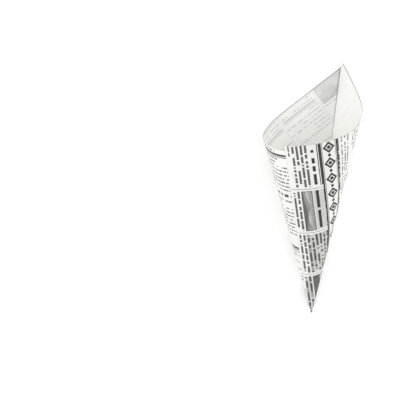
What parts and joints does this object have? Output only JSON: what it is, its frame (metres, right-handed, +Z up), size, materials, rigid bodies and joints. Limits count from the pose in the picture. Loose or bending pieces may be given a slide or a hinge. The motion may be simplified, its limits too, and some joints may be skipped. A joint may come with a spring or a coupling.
{
  "type": "paper snack cone",
  "caption": "Pointed paper cone for snacks, folded from one sheet and glued along one edge, with a tall back corner and a narrow lip, lying open on one panel.",
  "frame": {"origin": "centre of the bounding box's base, on the surface that the cone lies on", "axes": "+Y from the tail to the mouth along the resting panel, +Z up, +X towards the fold"},
  "size_m": [0.1144, 0.2968, 0.1034],
  "materials": {
    "paper": "matte greaseproof paper, printed outside, plain inside"
  },
  "bodies": {
    "root": {"paper_cone": "paper"}
  },
  "joints": []
}
